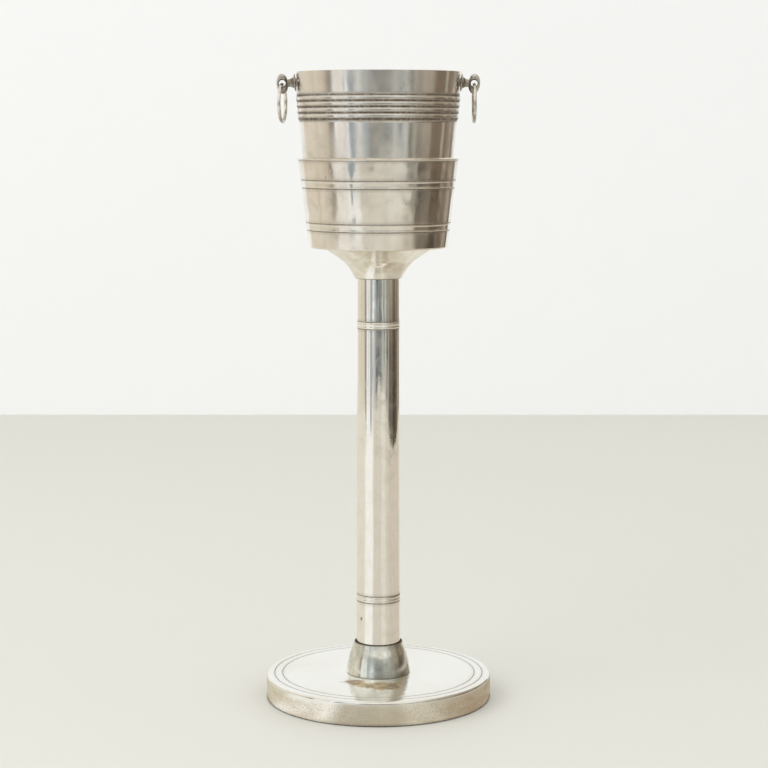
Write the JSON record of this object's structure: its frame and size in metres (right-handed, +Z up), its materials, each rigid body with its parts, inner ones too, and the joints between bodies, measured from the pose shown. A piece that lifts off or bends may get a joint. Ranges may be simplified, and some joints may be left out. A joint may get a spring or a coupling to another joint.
{
  "type": "champagne bucket stand",
  "caption": "Silver-plated champagne bucket with swinging ring handles, lifting out of a holder cup on a tubular column with a weighted round base.",
  "frame": {"origin": "centre of the round base, on the floor", "axes": "+Z up along the column, +X through the right ring handle, the pictured front faces -Y"},
  "size_m": [0.272, 0.272, 0.753],
  "materials": {
    "silver_plate": "old polished silver plate with soft waviness and light tarnish",
    "worn_silver_plate": "worn satin silver plate, warm where the plate is thin",
    "cast_silver_plate": "polished cast and wire silver plate, dark in the recesses",
    "plated_fastener": "dull plated brass fastener",
    "zinc_steel": "dull zinc-plated steel",
    "turned_brass": "turned bare brass",
    "cast_iron": "rough black-painted casting",
    "felt": "dark green wool felt"
  },
  "bodies": {
    "stand": {"base_shell": "worn_silver_plate", "base_ballast": "cast_iron", "base_felt": "felt", "bottom_washer": "zinc_steel", "bottom_spring_washer": "zinc_steel", "bottom_nut": "zinc_steel", "collar_bell": "worn_silver_plate", "collar_spigot": "turned_brass", "column_tube": "silver_plate", "tube_top_plug": "turned_brass", "tie_rod": "zinc_steel", "cup_funnel": "worn_silver_plate", "funnel_anchor_plate": "turned_brass", "top_washer": "zinc_steel", "top_spring_washer": "zinc_steel", "top_nut": "zinc_steel", "holder_cup": "silver_plate"},
    "bucket": {"bucket_shell": "silver_plate", "left_rosette": "cast_silver_plate", "left_eye_post": "cast_silver_plate", "left_lug_washer": "plated_fastener", "left_lug_nut": "plated_fastener", "right_rosette": "cast_silver_plate", "right_eye_post": "cast_silver_plate", "right_lug_washer": "plated_fastener", "right_lug_nut": "plated_fastener"},
    "left_ring_handle": {"left_ring": "cast_silver_plate"},
    "right_ring_handle": {"right_ring": "cast_silver_plate"}
  },
  "joints": [
    {"name": "bucket_lift", "type": "slide", "parent": "stand", "child": "bucket", "axis": [0, 0, 1], "range_m": [0, 0.16]},
    {"name": "left_ring_swing", "type": "hinge", "parent": "bucket", "child": "left_ring_handle", "pos_m": [-0.11303, 0, 0.73833], "axis": [0.1392, 0.9903, 0], "range_deg": [-14, 170]},
    {"name": "right_ring_swing", "type": "hinge", "parent": "bucket", "child": "right_ring_handle", "pos_m": [0.11303, 0, 0.73833], "axis": [0, -1, 0], "range_deg": [-14, 170]}
  ]
}
